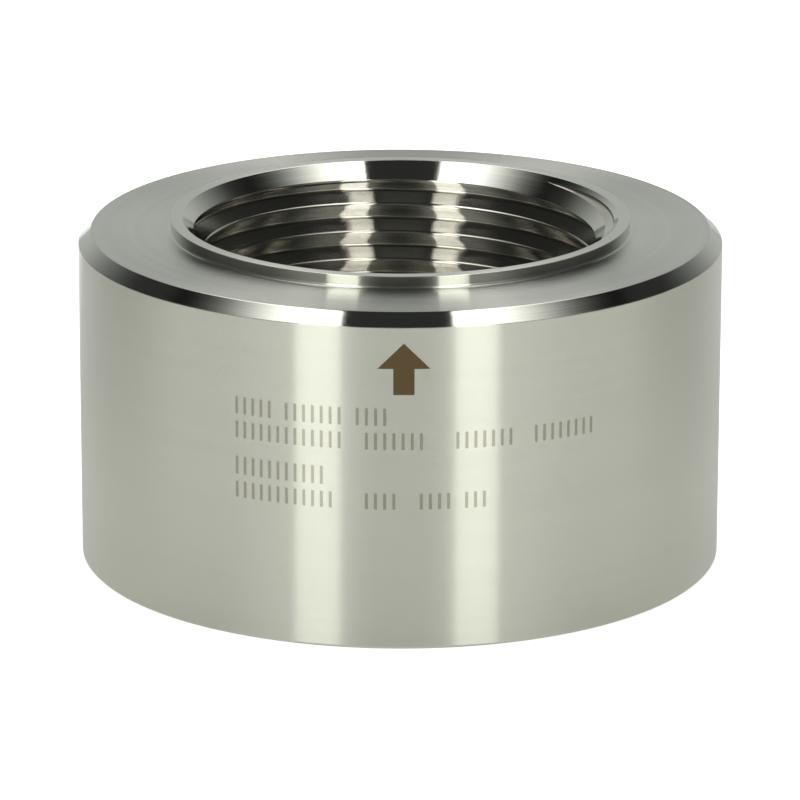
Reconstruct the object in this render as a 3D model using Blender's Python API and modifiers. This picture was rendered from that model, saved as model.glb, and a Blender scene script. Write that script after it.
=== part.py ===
"""Weld-in adapter: a round stainless steel boss with a G 1 female thread, for welding into a wall.

Metres, +Z up. The origin is the centre of the flat bottom face, the end that faces the process.
The adapter is one piece turned from bar. Its outside has a thin raised collar round the mouth,
a flat shoulder, a chamfered top edge and a plain cylinder, where it is welded in. Its bore has
a countersunk mouth, a right-hand pipe thread, an undercut where the threading tool runs out,
a conical seat and a smaller plain outlet.
"""

import math

import bmesh
import bpy

# G 1 thread: 11 turns to the inch, flanks at 27.5 degrees, right-hand. The rest is built round it.
THREAD_MAJOR_DIAMETER = 0.033249
THREAD_PITCH = 0.0254 / 11
FLANK_ANGLE = math.radians(27.5)
SHARP_HEIGHT = 0.960491
TRUNCATED_SHARE = 1 / 6
# Direction, from +X towards +Y, in which the middle of the groove passes the rim
THREAD_ENTRY_ANGLE = math.radians(75)

# Countersunk mouth: how far its widest edge clears the thread's root, and the slope of its side
MOUTH_CLEARANCE = 0.0003235
MOUTH_ANGLE = math.radians(45)

# Raised collar round the mouth: the flat of its rim, its height and the round at its foot
COLLAR_LAND = 0.0009
COLLAR_HEIGHT = 0.00095
COLLAR_FILLET = 0.0002

# Outside. The wall, from the thread's major diameter outwards, makes the body 50 mm across.
BODY_WALL = 0.0083755
SHOULDER_HEIGHT = 0.026
TOP_CHAMFER_WIDTH = 0.0010
TOP_CHAMFER_DROP = 0.00095
BOTTOM_EDGE_BREAK = 0.0002

# Bore below the thread, from the bottom up: outlet, conical seat, land and undercut
OUTLET_DEPTH = 0.00335
OUTLET_EDGE_BREAK = 0.0003
SEAT_WIDTH = 0.00165
SEAT_ANGLE = math.radians(45)
LAND_ABOVE_SEAT = 0.0015
UNDERCUT_FLOOR = 0.00146
UNDERCUT_CLEARANCE = 0.0001
UNDERCUT_SIDE_ANGLE = math.radians(30)

# How far the thread's cutter stands out of the wall into the bore
CUTTER_OVERLAP = 0.0002

# How finely the round forms are divided
TURN_STEPS = 72
FILLET_STEPS = 3
SMOOTH_ANGLE = math.radians(35)

# Sizes that follow from the ones above
CUT_OFF = SHARP_HEIGHT * THREAD_PITCH * TRUNCATED_SHARE
SHARP_ROOT_RADIUS = THREAD_MAJOR_DIAMETER / 2 + CUT_OFF
CREST_RADIUS = THREAD_MAJOR_DIAMETER / 2 + 2 * CUT_OFF - SHARP_HEIGHT * THREAD_PITCH
ROOT_RADIUS = THREAD_MAJOR_DIAMETER / 2
MOUTH_RADIUS = ROOT_RADIUS + MOUTH_CLEARANCE
COLLAR_RADIUS = MOUTH_RADIUS + COLLAR_LAND
BODY_RADIUS = THREAD_MAJOR_DIAMETER / 2 + BODY_WALL
RIM_HEIGHT = SHOULDER_HEIGHT + COLLAR_HEIGHT
OUTLET_RADIUS = CREST_RADIUS - SEAT_WIDTH
SEAT_TOP = OUTLET_DEPTH + SEAT_WIDTH / math.tan(SEAT_ANGLE)
UNDERCUT_RADIUS = ROOT_RADIUS + UNDERCUT_CLEARANCE
UNDERCUT_SIDE = (UNDERCUT_RADIUS - CREST_RADIUS) * math.tan(UNDERCUT_SIDE_ANGLE)
UNDERCUT_MIDDLE = SEAT_TOP + LAND_ABOVE_SEAT + UNDERCUT_SIDE + UNDERCUT_FLOOR / 2


def clear_scene():
    for obj in list(bpy.data.objects):
        bpy.data.objects.remove(obj, do_unlink=True)


def new_collection(name):
    collection = bpy.data.collections.new(name)
    bpy.context.scene.collection.children.link(collection)
    return collection


def turned_steel():
    """Fine-turned austenitic stainless steel."""
    material = bpy.data.materials.new("turned_stainless_steel")
    material.use_nodes = True
    shader = material.node_tree.nodes["Principled BSDF"]
    shader.inputs["Base Color"].default_value = (0.56, 0.55, 0.51, 1)
    shader.inputs["Metallic"].default_value = 1.0
    shader.inputs["Roughness"].default_value = 0.3
    return material


def collar_fillet():
    """Quarter round in the corner between the collar's wall and the shoulder."""
    centre_radius = COLLAR_RADIUS + COLLAR_FILLET
    centre_height = SHOULDER_HEIGHT + COLLAR_FILLET
    points = []
    for step in range(FILLET_STEPS + 1):
        turn = math.pi + step / FILLET_STEPS * math.pi / 2
        radius = centre_radius + COLLAR_FILLET * math.cos(turn)
        height = centre_height + COLLAR_FILLET * math.sin(turn)
        points.append((radius, height))
    return points


def undercut():
    """The run-out groove's four corners, from its lower edge to its upper one."""
    half_floor = UNDERCUT_FLOOR / 2
    half_mouth = half_floor + UNDERCUT_SIDE
    return [
        (CREST_RADIUS, UNDERCUT_MIDDLE - half_mouth),
        (UNDERCUT_RADIUS, UNDERCUT_MIDDLE - half_floor),
        (UNDERCUT_RADIUS, UNDERCUT_MIDDLE + half_floor),
        (CREST_RADIUS, UNDERCUT_MIDDLE + half_mouth),
    ]


def body_section():
    """Half section (radius, height): down the outside, across the bottom, up the bore."""
    mouth_drop = (MOUTH_RADIUS - CREST_RADIUS) / math.tan(MOUTH_ANGLE)
    outside = [
        (COLLAR_RADIUS, RIM_HEIGHT),
        *collar_fillet(),
        (BODY_RADIUS - TOP_CHAMFER_WIDTH, SHOULDER_HEIGHT),
        (BODY_RADIUS, SHOULDER_HEIGHT - TOP_CHAMFER_DROP),
        (BODY_RADIUS, BOTTOM_EDGE_BREAK),
        (BODY_RADIUS - BOTTOM_EDGE_BREAK, 0),
    ]
    bore = [
        (OUTLET_RADIUS + OUTLET_EDGE_BREAK, 0),
        (OUTLET_RADIUS, OUTLET_EDGE_BREAK),
        (OUTLET_RADIUS, OUTLET_DEPTH),
        (CREST_RADIUS, SEAT_TOP),
        *undercut(),
        (CREST_RADIUS, RIM_HEIGHT - mouth_drop),
        (MOUTH_RADIUS, RIM_HEIGHT),
    ]
    return outside + bore


def turned_blank(name, collection):
    """The adapter before threading: the half section turned once round the axis."""
    section = body_section()
    verts = [(radius, 0, height) for radius, height in section]
    edges = [(i, (i + 1) % len(section)) for i in range(len(section))]
    mesh = bpy.data.meshes.new(name)
    mesh.from_pydata(verts, edges, [])
    blank = bpy.data.objects.new(name, mesh)
    collection.objects.link(blank)
    turn = blank.modifiers.new("turn", "SCREW")
    turn.axis = "Z"
    turn.angle = 2 * math.pi
    turn.steps = TURN_STEPS
    turn.render_steps = TURN_STEPS
    turn.use_merge_vertices = True
    turn.merge_threshold = 0.00001
    return blank


def groove_section():
    """The thread groove's outline (radius, height from its middle), a tooth that points outwards."""
    inner_radius = CREST_RADIUS - CUTTER_OVERLAP
    half_mouth = (SHARP_ROOT_RADIUS - inner_radius) * math.tan(FLANK_ANGLE)
    half_root = (SHARP_ROOT_RADIUS - ROOT_RADIUS) * math.tan(FLANK_ANGLE)
    return [
        (inner_radius, -half_mouth),
        (ROOT_RADIUS, -half_root),
        (ROOT_RADIUS, half_root),
        (inner_radius, half_mouth),
    ]


def thread_cutter(name, collection):
    """The groove swept down a right-hand helix, from above the rim into the undercut.

    Its steps lie half a step off the blank's, so that no edge of one runs along an edge of the other.
    """
    step_angle = 2 * math.pi / TURN_STEPS
    step_drop = THREAD_PITCH / TURN_STEPS
    start_angle = step_angle / 2
    start_turn = 1 + (start_angle - THREAD_ENTRY_ANGLE) / (2 * math.pi)
    start_height = RIM_HEIGHT + THREAD_PITCH * start_turn
    steps = round((start_height - UNDERCUT_MIDDLE) / step_drop)
    shape = bmesh.new()
    corners = []
    for radius, height in groove_section():
        place = (radius * math.cos(start_angle), radius * math.sin(start_angle), start_height + height)
        corners.append(shape.verts.new(place))
    shape.faces.new(corners)
    bmesh.ops.spin(
        shape,
        geom=shape.verts[:] + shape.edges[:] + shape.faces[:],
        cent=(0, 0, 0),
        axis=(0, 0, 1),
        dvec=(0, 0, -step_drop),
        angle=-step_angle * steps,
        steps=steps,
    )
    bmesh.ops.triangulate(shape, faces=shape.faces[:])
    bmesh.ops.recalc_face_normals(shape, faces=shape.faces[:])
    mesh = bpy.data.meshes.new(name)
    shape.to_mesh(mesh)
    shape.free()
    cutter = bpy.data.objects.new(name, mesh)
    collection.objects.link(cutter)
    cutter.hide_render = True
    cutter.display_type = "WIRE"
    return cutter


def cut(body, cutter):
    difference = body.modifiers.new("cut_" + cutter.name, "BOOLEAN")
    difference.operation = "DIFFERENCE"
    difference.solver = "EXACT"
    difference.object = cutter


def finish(body, material):
    """Fixes the modifiers' result as the mesh, with smooth turned faces and sharp corners."""
    graph = bpy.context.evaluated_depsgraph_get()
    mesh = bpy.data.meshes.new_from_object(body.evaluated_get(graph))
    mesh.name = body.name
    body.modifiers.clear()
    body.data = mesh
    mesh.materials.clear()
    mesh.materials.append(material)
    mesh.shade_smooth()
    mesh.set_sharp_from_angle(angle=SMOOTH_ANGLE)


clear_scene()
part = new_collection("weld_in_adapter")
cutters = new_collection("cutters")
adapter_body = turned_blank("adapter_body", part)
cut(adapter_body, thread_cutter("thread_groove", cutters))
finish(adapter_body, turned_steel())
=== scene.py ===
"""Looks of the weld-in adapter: a turned stainless steel boss with a G 1 thread, in a small studio."""

import math

import bmesh
import bpy
import numpy as np
from mathutils import Matrix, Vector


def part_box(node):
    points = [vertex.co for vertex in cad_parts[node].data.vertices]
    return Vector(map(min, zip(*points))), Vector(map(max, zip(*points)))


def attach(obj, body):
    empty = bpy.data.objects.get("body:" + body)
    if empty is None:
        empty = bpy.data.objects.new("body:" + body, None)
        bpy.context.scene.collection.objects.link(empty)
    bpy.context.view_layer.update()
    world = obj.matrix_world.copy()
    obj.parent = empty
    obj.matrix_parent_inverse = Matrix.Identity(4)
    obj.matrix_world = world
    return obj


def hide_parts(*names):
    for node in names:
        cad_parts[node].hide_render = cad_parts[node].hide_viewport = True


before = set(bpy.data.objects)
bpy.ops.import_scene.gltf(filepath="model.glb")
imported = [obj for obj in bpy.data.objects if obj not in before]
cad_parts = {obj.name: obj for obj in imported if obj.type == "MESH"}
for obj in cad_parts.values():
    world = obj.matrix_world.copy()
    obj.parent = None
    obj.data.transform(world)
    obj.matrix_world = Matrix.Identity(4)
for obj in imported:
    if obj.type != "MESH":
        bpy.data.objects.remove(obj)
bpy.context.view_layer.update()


# Camera. It looks down at the marked side from a little above the part, through a long lens,
# so that the sides stand nearly upright in the picture.
CAMERA_DISTANCE = 0.44663
CAMERA_ELEVATION = math.radians(16.6766)
CAMERA_PITCH = math.radians(16.9328)
CAMERA_ROLL = math.radians(-0.1114)
CAMERA_TARGET_HEIGHT = 0.014
CAMERA_FOCAL_PIXELS = 5706.3
IMAGE_PIXELS = 800
SENSOR_MM = 36

camera_data = bpy.data.cameras.new("camera")
camera_data.sensor_width = SENSOR_MM
camera_data.lens = CAMERA_FOCAL_PIXELS * SENSOR_MM / IMAGE_PIXELS
camera_data.clip_start = 0.01
camera = bpy.data.objects.new("camera", camera_data)
bpy.context.scene.collection.objects.link(camera)
camera_height = CAMERA_DISTANCE * math.sin(CAMERA_ELEVATION) + CAMERA_TARGET_HEIGHT
camera_back = CAMERA_DISTANCE * math.cos(CAMERA_ELEVATION)
look_level = Matrix.Rotation(math.radians(90), 4, "X")
look_down = Matrix.Rotation(-CAMERA_PITCH, 4, "X")
roll = Matrix.Rotation(-CAMERA_ROLL, 4, "Z")
place = Matrix.Translation((0, -camera_back, camera_height))
camera.matrix_world = place @ look_down @ look_level @ roll
bpy.context.scene.camera = camera


# Turned body. One piece of stainless bar, turned outside and inside on a lathe: collar, shoulder,
# chamfer and plain side, then the bore with its countersunk mouth, run-out groove, seat and outlet.
# Every turned corner is broken by a few hundredths of a millimetre, which gives the bright edge lines.
BODY_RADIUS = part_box("adapter_body")[1].x
RIM_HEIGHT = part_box("adapter_body")[1].z
COLLAR_HEIGHT = 0.00095
COLLAR_RADIUS = 0.017848
COLLAR_FILLET = 0.00018
MOUTH_RADIUS = 0.016948
CHAMFER_WIDTH = 0.0010
CHAMFER_DROP = 0.00095
BOTTOM_EDGE_BREAK = 0.0002
CREST_RADIUS = 0.015146
UNDERCUT_RADIUS = 0.0167245
UNDERCUT_LOW = 0.0065
UNDERCUT_FLOOR_LOW = 0.007411
UNDERCUT_FLOOR_HIGH = 0.008871
UNDERCUT_HIGH = 0.009782
SEAT_TOP = 0.0050
OUTLET_RADIUS = 0.013496
OUTLET_DEPTH = 0.00335
OUTLET_EDGE_BREAK = 0.0003
CORNER_ROUND = 0.00004
CORNER_STEPS = 4
TURN_STEPS = 240

SIDE, FACED, POLISHED, BORED, RIM, COLLAR = range(6)
SHOULDER_HEIGHT = RIM_HEIGHT - COLLAR_HEIGHT


def rounded(corners, steps):
    """The outline through corners (radius, height, round, finish), each one a small curve.

    Each curve is the quadratic one from a point one round before the corner to a point one round
    after it, with the corner as its control point: (1-t)^2 a + 2t(1-t) c + t^2 b. One more point
    on each side, a fifth of a round further out, keeps the shading of the flat stretches flat.
    The finish of a corner is that of the stretch that follows it.
    """
    points = np.array([corner[:2] for corner in corners])
    round_by = np.array([corner[2] for corner in corners])[:, None]
    finishes = np.array([corner[3] for corner in corners])
    before = np.roll(points, 1, axis=0) - points
    after = np.roll(points, -1, axis=0) - points
    start = points + before / np.linalg.norm(before, axis=1, keepdims=True) * round_by
    end = points + after / np.linalg.norm(after, axis=1, keepdims=True) * round_by
    t = np.linspace(0, 1, steps + 1)[None, :, None]
    curves = (1 - t) ** 2 * start[:, None] + 2 * t * (1 - t) * points[:, None] + t**2 * end[:, None]
    before_start = start + (start - points) / 5
    after_end = end + (end - points) / 5
    curves = np.concatenate([before_start[:, None], curves, after_end[:, None]], axis=1)
    return curves.reshape(-1, 2), np.repeat(finishes, steps + 3)


def turned(outline, steps):
    """A grid of places: the outline (radius, height) turned round Z, radius (cos a, sin a)."""
    angle = np.arange(steps) * 2 * np.pi / steps
    radius, height = outline[:, 0], outline[:, 1]
    across = np.stack([np.cos(angle), np.sin(angle)], axis=1)
    flat = across[:, None, :] * radius[None, :, None]
    rise = np.broadcast_to(height[None, :, None], (steps, len(outline), 1))
    return np.concatenate([flat, rise], axis=2)


def grid_faces(rows, columns, rows_closed):
    """Corner numbers of the four-sided faces between neighbouring rows, with the columns closed."""
    row = np.arange(rows if rows_closed else rows - 1)[:, None]
    column = np.arange(columns)[None, :]
    next_row = (row + 1) % rows
    next_column = (column + 1) % columns
    corners = [row * columns + column, row * columns + next_column]
    corners += [next_row * columns + next_column, next_row * columns + column]
    return np.stack(corners, axis=2).reshape(-1, 4)


def closed_object(name, places, faces, finishes, materials):
    """A mesh object from places and faces, with its faces turned outwards and a finish for each."""
    mesh = bpy.data.meshes.new(name)
    mesh.from_pydata(places.reshape(-1, 3).tolist(), [], faces)
    for material in materials:
        mesh.materials.append(material)
    mesh.polygons.foreach_set("material_index", finishes)
    shape = bmesh.new()
    shape.from_mesh(mesh)
    bmesh.ops.recalc_face_normals(shape, faces=shape.faces)
    shape.to_mesh(mesh)
    shape.free()
    made = bpy.data.objects.new(name, mesh)
    bpy.context.scene.collection.objects.link(made)
    return made


def calc(tree, operation, *values):
    """One Math node. Each value is a number or another node's output."""
    node = tree.nodes.new("ShaderNodeMath")
    node.operation = operation
    for slot, value in enumerate(values):
        if isinstance(value, (int, float)):
            node.inputs[slot].default_value = value
        else:
            tree.links.new(value, node.inputs[slot])
    return node.outputs[0]


def product(tree, first, *others):
    """The product of two or more values."""
    for other in others:
        first = calc(tree, "MULTIPLY", first, other)
    return first


def total(tree, first, *others):
    """The sum of two or more values."""
    for other in others:
        first = calc(tree, "ADD", first, other)
    return first


def vector_calc(tree, operation, *values):
    """One Vector Math node on two vectors, or on a vector and a length for SCALE."""
    node = tree.nodes.new("ShaderNodeVectorMath")
    node.operation = operation
    tree.links.new(values[0], node.inputs[0])
    if operation == "SCALE":
        tree.links.new(values[1], node.inputs["Scale"])
    elif len(values) == 2:
        tree.links.new(values[1], node.inputs[1])
    return node.outputs["Vector"]


def join(tree, x, y, z):
    """One vector from three values."""
    node = tree.nodes.new("ShaderNodeCombineXYZ")
    for slot, value in enumerate((x, y, z)):
        tree.links.new(value, node.inputs[slot])
    return node.outputs["Vector"]


def noise(tree, place, scale, detail):
    """Smooth noise from 0 to 1 with a number of cells to the metre."""
    node = tree.nodes.new("ShaderNodeTexNoise")
    node.inputs["Scale"].default_value = scale
    node.inputs["Detail"].default_value = detail
    tree.links.new(place, node.inputs["Vector"])
    return node.outputs["Fac"]


def from_axis(tree, x, y):
    """The distance from the part's axis, the root of x x + y y."""
    return calc(tree, "SQRT", total(tree, product(tree, x, x), product(tree, y, y)))


def place_on(tree):
    """The object coordinates x, y and z."""
    split = tree.nodes.new("ShaderNodeSeparateXYZ")
    tree.links.new(tree.nodes.new("ShaderNodeTexCoord").outputs["Object"], split.inputs[0])
    return split.outputs


def ramp(tree, value, low, high, at_low, at_high):
    """Smooth step from at_low, where value is low, to at_high, where it is high."""
    node = tree.nodes.new("ShaderNodeMapRange")
    node.interpolation_type = "SMOOTHSTEP"
    node.inputs["From Min"].default_value = low
    node.inputs["From Max"].default_value = high
    node.inputs["To Min"].default_value = at_low
    node.inputs["To Max"].default_value = at_high
    tree.links.new(value, node.inputs["Value"])
    return node.outputs["Result"]


def grows(tree, value, span, full=1):
    """Smooth step from nothing to full across a span of the value."""
    return ramp(tree, value, *span, 0, full)


def fades(tree, value, span, full=1):
    """Smooth step from full to nothing across a span of the value."""
    return ramp(tree, value, *span, full, 0)


def round_the_axis(tree):
    """The direction round the part's axis, in which the tool ran."""
    tangent = tree.nodes.new("ShaderNodeTangent")
    tangent.direction_type = "RADIAL"
    tangent.axis = "Z"
    return tangent.outputs["Tangent"]


MARKS_DRIFT = 40
RINGS_FINENESS = 1300
CLOUD_FINENESS = 140
BORE_HEIGHTS = (0.0253, 0.0259)
FLANK_NORMALS = (0.83, 0.88)
LEVEL_NORMALS = (0.04, 0.14)
FLANK_RISE = 0.30
ROUNDS_CALM = 0.85


def turning_marks():
    """Node group: the rings that a lathe tool leaves, and the soft tones of handled steel.

    With r the distance from the axis and z the height, the normal leans in the plane of the axis
    by Slope (2 noise(Fineness r, Fineness z, drift x) - 1). Rings is a coarser noise of the same
    kind, and Cloud a noise of the place itself, both from 0 to 1. With Bore at 1, from low on
    the countersink down, Bore_shade is 1 on the flanks, whose normals are steep, and on what faces
    level or down, and 0 on the thread's rounds; the steel darkens its colour there as painted
    shade. Where it is 1, the normal before the lean points to the axis with the flanks' rise, which
    stands for the light that one flank passes to the other, and where it is 0 the lean is calmer.
    """
    marks = bpy.data.node_groups.new("turning_marks", "ShaderNodeTree")
    for name in ("Fineness", "Slope", "Bore"):
        marks.interface.new_socket(name, in_out="INPUT", socket_type="NodeSocketFloat")
    marks.interface.new_socket("Normal", in_out="OUTPUT", socket_type="NodeSocketVector")
    for name in ("Rings", "Cloud", "Bore_shade"):
        marks.interface.new_socket(name, in_out="OUTPUT", socket_type="NodeSocketFloat")
    given = marks.nodes.new("NodeGroupInput")
    result = marks.nodes.new("NodeGroupOutput")
    place = marks.nodes.new("ShaderNodeTexCoord").outputs["Object"]
    split = marks.nodes.new("ShaderNodeSeparateXYZ")
    marks.links.new(place, split.inputs[0])
    x, y, z = split.outputs
    r = from_axis(marks, x, y)
    drift = product(marks, x, MARKS_DRIFT)
    fine_r = product(marks, r, given.outputs["Fineness"])
    fine_z = product(marks, z, given.outputs["Fineness"])
    lean = calc(marks, "SUBTRACT", noise(marks, join(marks, fine_r, fine_z, drift), 1, 1), 0.5)
    lean = product(marks, lean, 2, given.outputs["Slope"])
    parts = marks.nodes.new("ShaderNodeSeparateXYZ")
    marks.links.new(marks.nodes.new("ShaderNodeNewGeometry").outputs["Normal"], parts.inputs[0])
    normal_x, normal_y, normal_z = parts.outputs
    deep = product(marks, fades(marks, z, BORE_HEIGHTS), given.outputs["Bore"])
    flank = grows(marks, calc(marks, "ABSOLUTE", normal_z), FLANK_NORMALS)
    rough = calc(marks, "MAXIMUM", flank, fades(marks, normal_z, LEVEL_NORMALS))
    rough = product(marks, rough, deep)
    marks.links.new(rough, result.inputs["Bore_shade"])
    fine = calc(marks, "SUBTRACT", 1, rough)
    level = calc(marks, "SQRT", calc(marks, "SUBTRACT", 1, product(marks, normal_z, normal_z)))
    level = product(marks, level, rough)
    inward = product(marks, calc(marks, "DIVIDE", level, r), -1)
    toward_x = total(marks, product(marks, normal_x, fine), product(marks, x, inward))
    toward_y = total(marks, product(marks, normal_y, fine), product(marks, y, inward))
    rise = total(marks, product(marks, normal_z, fine), product(marks, level, FLANK_RISE))
    normal = vector_calc(marks, "NORMALIZE", join(marks, toward_x, toward_y, rise))
    calmed = calc(marks, "SUBTRACT", 1, product(marks, deep, ROUNDS_CALM))
    lean = product(marks, lean, calc(marks, "MAXIMUM", rough, calmed))
    across = vector_calc(marks, "CROSS_PRODUCT", normal, round_the_axis(marks))
    leaning = vector_calc(marks, "ADD", normal, vector_calc(marks, "SCALE", across, lean))
    marks.links.new(vector_calc(marks, "NORMALIZE", leaning), result.inputs["Normal"])
    coarse_r = product(marks, r, RINGS_FINENESS)
    coarse_z = product(marks, z, RINGS_FINENESS)
    rings = noise(marks, join(marks, coarse_r, coarse_z, drift), 1, 3)
    marks.links.new(rings, result.inputs["Rings"])
    marks.links.new(noise(marks, place, CLOUD_FINENESS, 4), result.inputs["Cloud"])
    return marks


marks_group = turning_marks()
STREAK_TURN = 0.25
TONE_SPAN = (0.7, 1.3)
CLOUD_SPAN = (0.3, 0.7)
ROUGHNESS_CHANGE = 0.01
BORE_SHADE_LEVEL = 0.66


def steel(name, base_color, roughness, anisotropic, fineness, slope, tone, bore=0):
    """Turned steel: its marks lean the normal and change its tone by a share of the colour.

    In the bore, the thread's flanks and the faces that look level or down get painted shade: their
    colour is darker by the bore shade level, which stands for the light lost between the flanks.
    """
    material = bpy.data.materials.new(name)
    material.use_nodes = True
    tree = material.node_tree
    shader = tree.nodes["Principled BSDF"]
    shader.inputs["Metallic"].default_value = 1.0
    shader.inputs["Anisotropic"].default_value = anisotropic
    shader.inputs["Anisotropic Rotation"].default_value = STREAK_TURN
    tree.links.new(round_the_axis(tree), shader.inputs["Tangent"])
    marks = tree.nodes.new("ShaderNodeGroup")
    marks.node_tree = marks_group
    marks.inputs["Fineness"].default_value = fineness
    marks.inputs["Slope"].default_value = slope
    marks.inputs["Bore"].default_value = bore
    tree.links.new(marks.outputs["Normal"], shader.inputs["Normal"])
    both = total(tree, marks.outputs["Rings"], marks.outputs["Cloud"])
    # Painted shade: the colour is darker by the bore shade level on the bore's flanks and on faces
    # that look level or down.
    shade = ramp(tree, marks.outputs["Bore_shade"], 0, 1, 1, BORE_SHADE_LEVEL)
    level = product(tree, ramp(tree, both, *TONE_SPAN, 1 - tone, 1), shade)
    color = tree.nodes.new("ShaderNodeVectorMath")
    color.operation = "SCALE"
    color.inputs[0].default_value = base_color
    tree.links.new(level, color.inputs["Scale"])
    tree.links.new(color.outputs["Vector"], shader.inputs["Base Color"])
    smoothest, roughest = roughness - ROUGHNESS_CHANGE, roughness + ROUGHNESS_CHANGE
    rough = ramp(tree, marks.outputs["Cloud"], *CLOUD_SPAN, smoothest, roughest)
    tree.links.new(rough, shader.inputs["Roughness"])
    return material


# In the order of the finishes: colour, roughness, stretch of the shine along the marks, marks to
# the metre, their slope and their tone, and for the thread a last 1 that turns on the bore's
# leaning normals and its painted shade
body_materials = [
    steel("fine_turned_side", (0.57, 0.583, 0.51), 0.22, 1.0, 1500000, 0.75, 0.03),
    steel("faced_steel", (0.615, 0.625, 0.585), 0.21, 1.0, 1500000, 0.17, 0.08),
    steel("polished_edges", (0.55, 0.56, 0.52), 0.09, 1.0, 60000, 0.04, 0.05),
    steel("cut_thread", (0.57, 0.555, 0.485), 0.13, 1.0, 300000, 0.40, 0.12, 1),
    steel("collar_rim", (0.63, 0.64, 0.60), 0.34, 0.7, 60000, 0.2, 0.04),
    steel("collar_wall", (0.57, 0.575, 0.52), 0.09, 1.0, 60000, 0.04, 0.05),
]

section = [
    (COLLAR_RADIUS, RIM_HEIGHT, CORNER_ROUND, COLLAR),
    (COLLAR_RADIUS, SHOULDER_HEIGHT, COLLAR_FILLET, FACED),
    (BODY_RADIUS - CHAMFER_WIDTH, SHOULDER_HEIGHT, CORNER_ROUND, POLISHED),
    (BODY_RADIUS, SHOULDER_HEIGHT - CHAMFER_DROP, CORNER_ROUND, SIDE),
    (BODY_RADIUS, BOTTOM_EDGE_BREAK, CORNER_ROUND, SIDE),
    (BODY_RADIUS - BOTTOM_EDGE_BREAK, 0, CORNER_ROUND, FACED),
    (OUTLET_RADIUS + OUTLET_EDGE_BREAK, 0, CORNER_ROUND, BORED),
    (OUTLET_RADIUS, OUTLET_EDGE_BREAK, CORNER_ROUND, BORED),
    (OUTLET_RADIUS, OUTLET_DEPTH, CORNER_ROUND, POLISHED),
    (CREST_RADIUS, SEAT_TOP, CORNER_ROUND, BORED),
    (CREST_RADIUS, UNDERCUT_LOW, CORNER_ROUND, BORED),
    (UNDERCUT_RADIUS, UNDERCUT_FLOOR_LOW, CORNER_ROUND, BORED),
    (UNDERCUT_RADIUS, UNDERCUT_FLOOR_HIGH, CORNER_ROUND, BORED),
    (CREST_RADIUS, UNDERCUT_HIGH, CORNER_ROUND, BORED),
    (CREST_RADIUS, RIM_HEIGHT - (MOUTH_RADIUS - CREST_RADIUS), CORNER_ROUND, POLISHED),
    (MOUTH_RADIUS, RIM_HEIGHT, CORNER_ROUND, RIM),
]
outline, outline_finishes = rounded(section, CORNER_STEPS)
body_faces = grid_faces(TURN_STEPS, len(outline), rows_closed=True)
turned_body = closed_object(
    "turned_body",
    turned(outline, TURN_STEPS),
    body_faces.tolist(),
    np.tile(outline_finishes, TURN_STEPS),
    body_materials,
)


# Laser marks. A plain arrow that shows which end faces out, and four rows of short upright bars,
# burnt flush into the side: dark brown and grey-brown oxide in place of the bright turned steel.
MARK_ARROW_DISTANCE = 0.285
MARK_ARROW_TIP = 23.87
MARK_HEAD_FROM = 21.9
MARK_STEM_HALF_WIDTH = 0.785
MARK_STEM_FROM = 19.9
MARK_STEM_TO = 22.0
MARK_BARS_START = -12.8
MARK_BAR_PITCH = 0.68
MARK_BAR_SHARE = 0.34
MARK_WORD_MARGIN = 0.2
# Each row's lower and upper edge, and its words by their first bar and the next after their last
MARK_ROWS = [
    (17.50, 18.85, [(0, 5), (6, 13), (14, 18)]),
    (15.65, 16.95, [(0, 13), (15, 22), (25, 32), (34, 42)]),
    (12.80, 14.20, [(0, 11)]),
    (11.00, 12.25, [(0, 12), (15, 19), (21, 25), (26, 29)]),
]


def between(tree, value, low, high):
    """1 where value lies from low to high, and 0 elsewhere."""
    return calc(tree, "COMPARE", value, (low + high) / 2, (high - low) / 2)


def laser_marks():
    """Node group: where the side is marked, from its place on the unrolled side.

    The place is s = R atan2(x, -y), the way round the side from the front, and the height z, in
    millimetres. Arrow is 1 in a head |s - s0| < z_tip - z and in a stem below it. The bars are
    counted from the rows' start by n = (s - start) / pitch. Bars is 1 where the fraction of n is
    under a bar's share, in the rows' heights and from each word's first bar to its last.
    """
    group = bpy.data.node_groups.new("laser_marks", "ShaderNodeTree")
    group.interface.new_socket("Arrow", in_out="OUTPUT", socket_type="NodeSocketFloat")
    group.interface.new_socket("Bars", in_out="OUTPUT", socket_type="NodeSocketFloat")
    result = group.nodes.new("NodeGroupOutput")
    x, y, z = place_on(group)
    around = calc(group, "ARCTAN2", x, product(group, y, -1))
    s = product(group, around, BODY_RADIUS * 1000)
    z = product(group, z, 1000)
    aside = calc(group, "ABSOLUTE", calc(group, "SUBTRACT", s, MARK_ARROW_DISTANCE))
    head = calc(group, "LESS_THAN", aside, calc(group, "SUBTRACT", MARK_ARROW_TIP, z))
    head = product(group, head, calc(group, "GREATER_THAN", z, MARK_HEAD_FROM))
    stem = calc(group, "LESS_THAN", aside, MARK_STEM_HALF_WIDTH)
    stem = product(group, stem, between(group, z, MARK_STEM_FROM, MARK_STEM_TO))
    group.links.new(calc(group, "MAXIMUM", head, stem), result.inputs["Arrow"])
    number = calc(group, "DIVIDE", calc(group, "SUBTRACT", s, MARK_BARS_START), MARK_BAR_PITCH)
    stripe = calc(group, "LESS_THAN", calc(group, "FRACT", number), MARK_BAR_SHARE)
    bars = 0.0
    for low, high, words in MARK_ROWS:
        row = 0.0
        for first, end in words:
            word = between(group, number, first - MARK_WORD_MARGIN, end - MARK_WORD_MARGIN)
            row = calc(group, "MAXIMUM", word, row)
        row = product(group, row, between(group, z, low, high))
        bars = calc(group, "MAXIMUM", row, bars)
    group.links.new(product(group, bars, stripe), result.inputs["Bars"])
    return group


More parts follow.
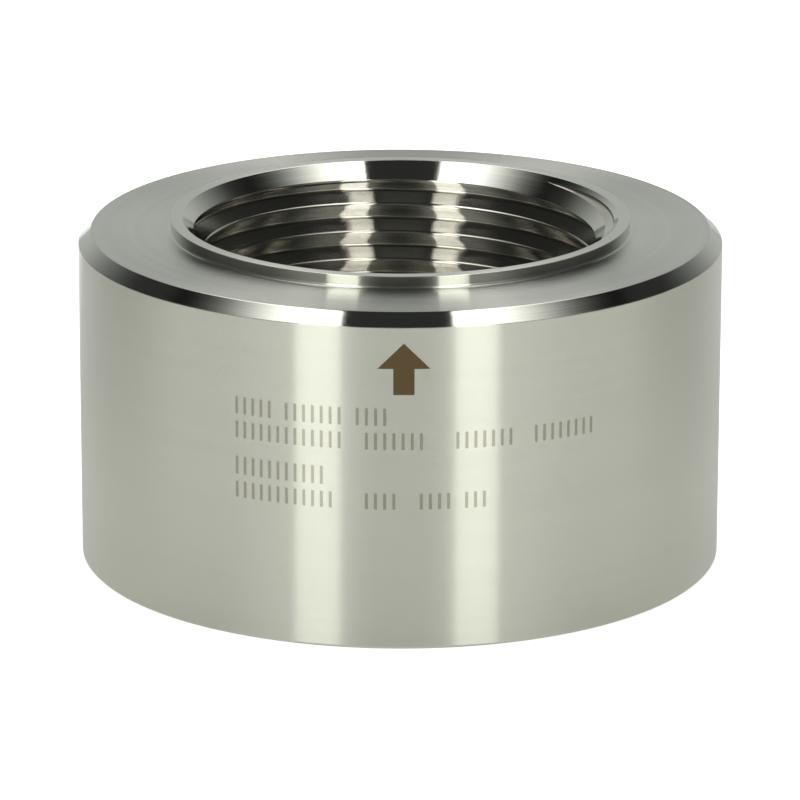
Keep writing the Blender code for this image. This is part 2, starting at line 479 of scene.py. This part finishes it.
def burn(tree, color, mask, tint):
    """The colour tinted where the mask is 1."""
    mix = tree.nodes.new("ShaderNodeMix")
    mix.data_type = "RGBA"
    mix.blend_type = "MULTIPLY"
    tree.links.new(mask, mix.inputs["Factor"])
    tree.links.new(color, mix.inputs["A"])
    mix.inputs["B"].default_value = (*tint, 1)
    return mix.outputs["Result"]


tree = body_materials[SIDE].node_tree
marked = tree.nodes.new("ShaderNodeGroup")
marked.node_tree = laser_marks()
base = tree.nodes["Principled BSDF"].inputs["Base Color"]
GREY_BROWN = (0.62, 0.60, 0.56)
DARK_BROWN = (0.25, 0.175, 0.10)
color = burn(tree, base.links[0].from_socket, marked.outputs["Bars"], GREY_BROWN)
color = burn(tree, color, marked.outputs["Arrow"], DARK_BROWN)
tree.links.new(color, base)


# Thread. A single-point tool cuts a right-hand groove down the bore, 11 turns to the inch, with
# flanks at 27.5 degrees and rounded roots and crests. It starts above the rim, so it breaks out
# on the countersink, and runs out in the undercut.
THREAD_PITCH = 0.0254 / 11
FLANK_ANGLE = math.radians(27.5)
ROOT_RADIUS = 0.0166245
ROUND_RADIUS = 0.137329 * THREAD_PITCH
ROUND_STEPS = 6
CREST_STOP = math.radians(15)
ENTRY_ANGLE = math.radians(75)
CUTTER_OVERLAP = 0.0002
CUTTER_FLARE = 0.00003


def helix(outline, start_angle, start_height, drop, steps_round, steps):
    """A grid of places: the outline (radius, height) carried down a right-hand helix.

    At step k the angle is start - 2 pi k / n and the height start - drop k / n, n steps a turn.
    """
    step = np.arange(steps + 1)
    angle = start_angle - step * 2 * np.pi / steps_round
    fall = start_height - step * drop / steps_round
    across = np.stack([np.cos(angle), np.sin(angle)], axis=1)
    flat = across[:, None, :] * outline[None, :, 0, None]
    rise = (fall[:, None] + outline[None, :, 1])[:, :, None]
    return np.concatenate([flat, rise], axis=2)


def groove_outline():
    """The groove's section (radius, height), from its lower mouth over the root to its upper mouth.

    Root and crest are arcs of radius q that the flank touches at 90 degrees less its angle from
    the radius: root (R - q + q cos a, q sin a) and crest (C + q - q cos a, pitch / 2 - q sin a),
    with R the root's radius and C the crest's.
    """
    touch = np.pi / 2 - FLANK_ANGLE
    root_angle = np.linspace(-touch, touch, 2 * ROUND_STEPS + 1)
    root_radius = ROOT_RADIUS - ROUND_RADIUS * (1 - np.cos(root_angle))
    root = np.stack([root_radius, ROUND_RADIUS * np.sin(root_angle)], axis=1)
    crest_angle = np.linspace(touch, CREST_STOP, ROUND_STEPS)
    crest_radius = CREST_RADIUS + ROUND_RADIUS * (1 - np.cos(crest_angle))
    crest_height = THREAD_PITCH / 2 - ROUND_RADIUS * np.sin(crest_angle)
    mouth = [[CREST_RADIUS - CUTTER_OVERLAP, crest_height[-1] + CUTTER_FLARE]]
    upper = np.concatenate([np.stack([crest_radius, crest_height], axis=1), mouth])
    lower = (upper * (1, -1))[::-1]
    return np.concatenate([lower, root, upper])


COUNTERSINK_ANGLE = math.radians(45)
EDGE_ROUND = 0.00018
EDGE_FROM = 0.02430
EDGE_TO = 0.02610
EDGE_FADE = 0.00025
EDGE_LEAST_SHARE = 0.1
EDGE_SPARE = 6
EDGE_STEPS = 5
EDGE_REACH = 1.5
EDGE_DEPTH = 2.5


def edge_tool():
    """A grid of places: a small tool that rounds the edge between the countersink and the groove.

    Where the groove's middle lies at height m, the countersink z = r + c and the flank
    z = m + (S - r) tan f meet at r = (m - c + S tan f) / (1 + tan f), with S the radius where the
    flanks would meet. The round's centre lies k / sin(w / 2) further out on the line that halves
    the edge's angle w. Towards the two ends its radius k goes down to a tenth.
    """
    slope = math.tan(FLANK_ANGLE)
    sharp_root = ROOT_RADIUS - ROUND_RADIUS + ROUND_RADIUS / math.sin(FLANK_ANGLE)
    cone = RIM_HEIGHT - MOUTH_RADIUS
    corner = COUNTERSINK_ANGLE + FLANK_ANGLE
    halving = (COUNTERSINK_ANGLE - FLANK_ANGLE) / 2
    outward = np.array([math.cos(halving), math.sin(halving)])
    middle = np.arange(EDGE_FROM, EDGE_TO, THREAD_PITCH / TURN_STEPS)
    angle = ENTRY_ANGLE + (middle - RIM_HEIGHT) / THREAD_PITCH * 2 * np.pi
    share = np.minimum(middle - middle[0], middle[-1] - middle) / EDGE_FADE
    size = EDGE_ROUND * np.clip(share, EDGE_LEAST_SHARE, 1)
    tip_radius = (middle - cone + sharp_root * slope) / (1 + slope)
    turn_from = math.radians(135 + EDGE_SPARE)
    turn_to = math.radians(270 - EDGE_SPARE) - FLANK_ANGLE
    turn = np.linspace(turn_from, turn_to, EDGE_STEPS + 1)
    arc = np.stack([np.cos(turn), np.sin(turn)], axis=1) + outward / math.sin(corner / 2)
    first = arc[0] + (arc[0] - arc[1]) * EDGE_REACH
    last = arc[-1] + (arc[-1] - arc[-2]) * EDGE_REACH
    back = outward * EDGE_DEPTH
    section = np.concatenate([[first], arc, [last, last - back, first - back]])
    radius = tip_radius[:, None] + size[:, None] * section[None, :, 0]
    height = (tip_radius + cone)[:, None] + size[:, None] * section[None, :, 1]
    across, along = np.cos(angle)[:, None], np.sin(angle)[:, None]
    return np.stack([radius * across, radius * along, height], axis=2)


def part_finishes(mesh):
    """Makes each edge between two finishes sharp: its faces' lowest and highest finish differ."""
    edge_of_corner = np.empty(len(mesh.loops), np.int32)
    mesh.loops.foreach_get("edge_index", edge_of_corner)
    finish = np.empty(len(mesh.polygons), np.int32)
    mesh.polygons.foreach_get("material_index", finish)
    corners = np.empty(len(mesh.polygons), np.int32)
    mesh.polygons.foreach_get("loop_total", corners)
    finish_of_corner = np.repeat(finish, corners)
    low = np.full(len(mesh.edges), finish.max())
    high = np.full(len(mesh.edges), finish.min())
    np.minimum.at(low, edge_of_corner, finish_of_corner)
    np.maximum.at(high, edge_of_corner, finish_of_corner)
    sharp = np.empty(len(mesh.edges), bool)
    mesh.attributes["sharp_edge"].data.foreach_get("value", sharp)
    mesh.attributes["sharp_edge"].data.foreach_set("value", sharp | (low < high))


half_step = math.pi / TURN_STEPS
start_turn = 1 + (half_step - ENTRY_ANGLE) / (2 * math.pi)
start_height = RIM_HEIGHT + THREAD_PITCH * start_turn
undercut_middle = (UNDERCUT_FLOOR_LOW + UNDERCUT_FLOOR_HIGH) / 2
groove_steps = round((start_height - undercut_middle) / THREAD_PITCH * TURN_STEPS)
groove = groove_outline()
groove_places = helix(groove, half_step, start_height, THREAD_PITCH, TURN_STEPS, groove_steps)


def cut_away(name, places, finish):
    """Takes a swept tool, a grid of places with flat ends, away from the turned body."""
    rows, columns = places.shape[:2]
    ends = [list(range(columns)), [(rows - 1) * columns + corner for corner in range(columns)]]
    faces = grid_faces(rows, columns, rows_closed=False).tolist() + ends
    tool = closed_object(name, places, faces, np.full(len(faces), finish), body_materials)
    cut = turned_body.modifiers.new(name, "BOOLEAN")
    cut.operation = "DIFFERENCE"
    cut.solver = "EXACT"
    cut.object = tool
    return tool


SHARP_ANGLE = math.radians(28)
groove_tool = cut_away("thread_groove", groove_places, BORED)
tools = [groove_tool, cut_away("edge_tool", edge_tool(), BORED)]
depsgraph = bpy.context.evaluated_depsgraph_get()
threaded = bpy.data.meshes.new_from_object(turned_body.evaluated_get(depsgraph))
turned_body.modifiers.clear()
turned_body.data = threaded
threaded.shade_smooth()
threaded.set_sharp_from_angle(angle=SHARP_ANGLE)
part_finishes(threaded)
for tool in tools:
    bpy.data.objects.remove(tool, do_unlink=True)

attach(turned_body, "root")
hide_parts("adapter_body")


# Studio. A white table that shows only from above, whose glow as the steel reflects it holds a
# painted shadow near the part and painted pools of light, two tall softboxes beside the camera,
# two long diffusers overhead whose outer edges fade, and a dark hood round the rest that is open
# to a pale backdrop behind the part. Spans of direction are degrees, and spans of place are metres.
FLOOR_HALF = 1.5
FLOOR_DROP = 0.00002
FLOOR_GREY = 0.8
GLOW_SEEN = 0.80
GLOW_REFLECTED = 0.46
FRONT_SPAN = (-0.04, 0.04)
BACK_SHARE = 0.15
NEAR_SHARE = 0.78
NEAR_SPAN = (0.030, 0.085)
POOL = 0.12
POOL_FROM = (4, 30)
POOL_TO = (45, 85)
FOOT = 0.26
FOOT_TO = (18, 42)
FOOT_FAR_SHARE = 0.3
FOOT_SPAN = (0.028, 0.05)
LEFT_BACK = 0.6
LEFT_SPAN = (-0.02, 0)
LEFT_BACK_FROM = (140, 160)
LEFT_BACK_SPAN = (0.045, 0.10)


def surface(name, places, faces, visible_camera):
    """A mesh object of the studio with a material of its own, whose tree holds only its output."""
    mesh = bpy.data.meshes.new(name)
    mesh.from_pydata(places, [], faces)
    made = bpy.data.objects.new(name, mesh)
    bpy.context.scene.collection.objects.link(made)
    made.visible_camera = visible_camera
    material = bpy.data.materials.new(name)
    material.use_nodes = True
    material.node_tree.nodes.clear()
    mesh.materials.append(material)
    return made, material, material.node_tree.nodes.new("ShaderNodeOutputMaterial")


def emission(tree, color, strength):
    """Light of one colour whose strength changes over the surface."""
    node = tree.nodes.new("ShaderNodeEmission")
    node.inputs["Color"].default_value = (*color, 1)
    tree.links.new(strength, node.inputs["Strength"])
    return node.outputs["Emission"]


def degrees_from_front(tree, x, y):
    """How far round the part a place lies from the camera's side, 0 to 180 degrees either way."""
    angle = calc(tree, "ARCTAN2", calc(tree, "ABSOLUTE", x), product(tree, y, -1))
    return calc(tree, "DEGREES", angle)


floor_corners = [(-1, -1), (1, -1), (1, 1), (-1, 1)]
floor_places = [(FLOOR_HALF * x, FLOOR_HALF * y, -FLOOR_DROP) for x, y in floor_corners]
floor, material, output = surface("white_table", floor_places, [(0, 1, 2, 3)], True)
tree = material.node_tree
diffuse = tree.nodes.new("ShaderNodeBsdfDiffuse")
diffuse.inputs["Color"].default_value = (FLOOR_GREY, FLOOR_GREY, FLOOR_GREY, 1)
path = tree.nodes.new("ShaderNodeLightPath")
seen = product(tree, path.outputs["Is Camera Ray"], GLOW_SEEN)
x, y = place_on(tree)[:2]
away = from_axis(tree, x, y)
around = degrees_from_front(tree, x, y)
# Painted light and shade on the table, which only reflections see: the glow is dimmer behind the part,
# dimmer near it as a painted shadow, brighter in a painted pool of light on each side of the camera
# and at the foot of the wall in front, and brighter again behind it on the left.
front = ramp(tree, y, *FRONT_SPAN, GLOW_REFLECTED, BACK_SHARE * GLOW_REFLECTED)
near = ramp(tree, away, *NEAR_SPAN, NEAR_SHARE, 1)
pool = product(tree, grows(tree, around, POOL_FROM, POOL), fades(tree, around, POOL_TO))
foot = ramp(tree, away, *FOOT_SPAN, 1, FOOT_FAR_SHARE)
foot = product(tree, fades(tree, around, FOOT_TO, FOOT), foot)
near = product(tree, near, total(tree, pool, 1), total(tree, foot, 1))
left = product(tree, fades(tree, x, LEFT_SPAN, LEFT_BACK), grows(tree, around, LEFT_BACK_FROM))
left = product(tree, left, grows(tree, away, LEFT_BACK_SPAN))
glow = total(tree, product(tree, near, front), left)
reflected = product(tree, path.outputs["Is Glossy Ray"], glow)
both = tree.nodes.new("ShaderNodeAddShader")
tree.links.new(diffuse.outputs[0], both.inputs[0])
shine = emission(tree, (1.0, 1.0, 1.0), total(tree, seen, reflected))
tree.links.new(shine, both.inputs[1])
one_sided = tree.nodes.new("ShaderNodeMixShader")
tree.links.new(tree.nodes.new("ShaderNodeNewGeometry").outputs["Backfacing"], one_sided.inputs["Fac"])
tree.links.new(both.outputs[0], one_sided.inputs[1])
tree.links.new(tree.nodes.new("ShaderNodeBsdfTransparent").outputs[0], one_sided.inputs[2])
tree.links.new(one_sided.outputs[0], output.inputs["Surface"])
material.cycles.emission_sampling = "NONE"

HOOD_RADIUS = 1.2
HOOD_COLUMNS = 96
HOOD_ROWS = 32
HOOD_TOP = math.radians(89.91)
HOOD_TINT = (0.97, 1.0, 0.95)
HOOD_DARK = 0.040
BACKDROP = 0.48
BACKDROP_FROM = (124, 155)
BACKDROP_TOP = (42, 72)
SIDES = 0.07
SIDES_FROM = (45, 80)
SIDES_TOP = (8, 22)
SPILL = 1.2
SPILL_FROM = (8, 22)
SPILL_TO = (38, 80)
SPILL_LOW_SHARE = 0.1
SPILL_BOTTOM = (3, 9)
SPILL_TOP = (11, 24)
FRONT_GAP = 0.10
FRONT_GAP_TO = (10, 20)
FRONT_GAP_BOTTOM = (20, 28)
FRONT_GAP_TOP = (38, 55)


def hood_places(radius, columns, rows):
    """A grid on a half sphere: radius (cos e cos a, cos e sin a, sin e), with a round Z and e up."""
    azimuth = np.arange(columns) * 2 * np.pi / columns
    elevation = np.linspace(0, HOOD_TOP, rows)
    a, e = np.meshgrid(azimuth, elevation)
    return radius * np.stack([np.cos(e) * np.cos(a), np.cos(e) * np.sin(a), np.sin(e)], axis=2)


hood_grid = hood_places(HOOD_RADIUS, HOOD_COLUMNS, HOOD_ROWS).reshape(-1, 3).tolist()
hood_faces = grid_faces(HOOD_ROWS, HOOD_COLUMNS, rows_closed=False).tolist()
hood, material, output = surface("hood", hood_grid, hood_faces, False)
hood.visible_shadow = False
tree = material.node_tree
x, y, z = place_on(tree)
aside = degrees_from_front(tree, x, y)
up = calc(tree, "DEGREES", calc(tree, "ARCSINE", calc(tree, "DIVIDE", z, HOOD_RADIUS)))
back = product(tree, grows(tree, aside, BACKDROP_FROM, BACKDROP), fades(tree, up, BACKDROP_TOP))
sides = product(tree, grows(tree, aside, SIDES_FROM, SIDES), fades(tree, up, SIDES_TOP))
low = ramp(tree, up, *SPILL_BOTTOM, SPILL_LOW_SHARE, 1)
spill = product(tree, grows(tree, aside, SPILL_FROM, SPILL), low)
spill = product(tree, spill, calc(tree, "POWER", fades(tree, aside, SPILL_TO), 2))
spill = product(tree, spill, fades(tree, up, SPILL_TOP))
gap = product(tree, fades(tree, aside, FRONT_GAP_TO, FRONT_GAP), grows(tree, up, FRONT_GAP_BOTTOM))
gap = product(tree, gap, fades(tree, up, FRONT_GAP_TOP))
strength = total(tree, total(tree, back, sides), total(tree, spill, HOOD_DARK), gap)
tree.links.new(emission(tree, HOOD_TINT, strength), output.inputs["Surface"])
material.cycles.emission_sampling = "NONE"

WARM_WHITE = (1.0, 0.99, 0.95)
SOFTBOX_DISTANCE = 0.65
SOFTBOX_HEIGHT = 0.70
SOFTBOX_RADIANCE = 2.6


def softbox(name, azimuth_from, azimuth_to):
    """A tall area lamp that stands on the table, turned to the part, between two directions.

    The directions are measured round the part from the camera's side, in degrees.
    """
    middle = math.radians((azimuth_from + azimuth_to) / 2)
    half_angle = math.radians(abs(azimuth_to - azimuth_from)) / 2
    width = 2 * SOFTBOX_DISTANCE * math.tan(half_angle)
    data = bpy.data.lights.new(name, "AREA")
    data.shape = "RECTANGLE"
    data.size = width
    data.size_y = SOFTBOX_HEIGHT
    data.energy = SOFTBOX_RADIANCE * math.pi * width * SOFTBOX_HEIGHT
    data.color = WARM_WHITE
    lamp = bpy.data.objects.new(name, data)
    bpy.context.scene.collection.objects.link(lamp)
    across = Matrix.Rotation(middle, 4, "Z")
    stand = Matrix.Translation((0, -SOFTBOX_DISTANCE, SOFTBOX_HEIGHT / 2))
    face = Matrix.Rotation(math.radians(90), 4, "X")
    lamp.matrix_world = across @ stand @ face
    lamp.visible_camera = False


softbox("left_softbox", -36.0, -20.4)
softbox("right_softbox", 18.8, 33.8)

DIFFUSER_HEIGHT = 0.50
DIFFUSER_RADIANCE = 3.2
DIFFUSER_OUTER = 1.00
DIFFUSER_NEAR_END = -0.42
DIFFUSER_FAR_END = 1.10
DIMMER_FROM = 0.05
DIMMER_TO = 0.80
DIMMER_SHARE = 0.95


def diffuser(name, side, inner, inner_far, fade_from):
    """A level sheet of light over one side of the part. Its outer edge fades, its far end dims.

    Its places are given as x / h and y / h, with h its height over the shoulder.
    """
    h = DIFFUSER_HEIGHT - SHOULDER_HEIGHT
    near_end = [(inner, DIFFUSER_NEAR_END), (DIFFUSER_OUTER, DIFFUSER_NEAR_END)]
    far_end = [(DIFFUSER_OUTER, DIFFUSER_FAR_END), (inner_far, DIFFUSER_FAR_END)]
    places = [(side * h * x, h * y, DIFFUSER_HEIGHT) for x, y in near_end + far_end]
    made, material, output = surface(name, places, [(0, 1, 2, 3)], False)
    tree = material.node_tree
    x, y = place_on(tree)[:2]
    outer = fades(tree, calc(tree, "ABSOLUTE", x), (fade_from * h, DIFFUSER_OUTER * h))
    dimmed = DIMMER_SHARE * DIFFUSER_RADIANCE
    far = ramp(tree, y, DIMMER_FROM * h, DIMMER_TO * h, DIFFUSER_RADIANCE, dimmed)
    strength = product(tree, calc(tree, "POWER", outer, 2), far)
    tree.links.new(emission(tree, WARM_WHITE, strength), output.inputs["Surface"])


diffuser("left_diffuser", -1, 0.247, 0.14, 0.29)
diffuser("right_diffuser", 1, 0.224, 0.11, 0.22)

world = bpy.data.worlds.new("studio")
bpy.context.scene.world = world
world.use_nodes = True
tree = world.node_tree
background = tree.nodes["Background"]
background.inputs["Color"].default_value = (1, 1, 1, 1)
path = tree.nodes.new("ShaderNodeLightPath")
seen = calc(tree, "MAXIMUM", path.outputs["Is Camera Ray"], path.outputs["Is Glossy Ray"])
tree.links.new(seen, background.inputs["Strength"])

bpy.context.scene.view_settings.view_transform = "Standard"
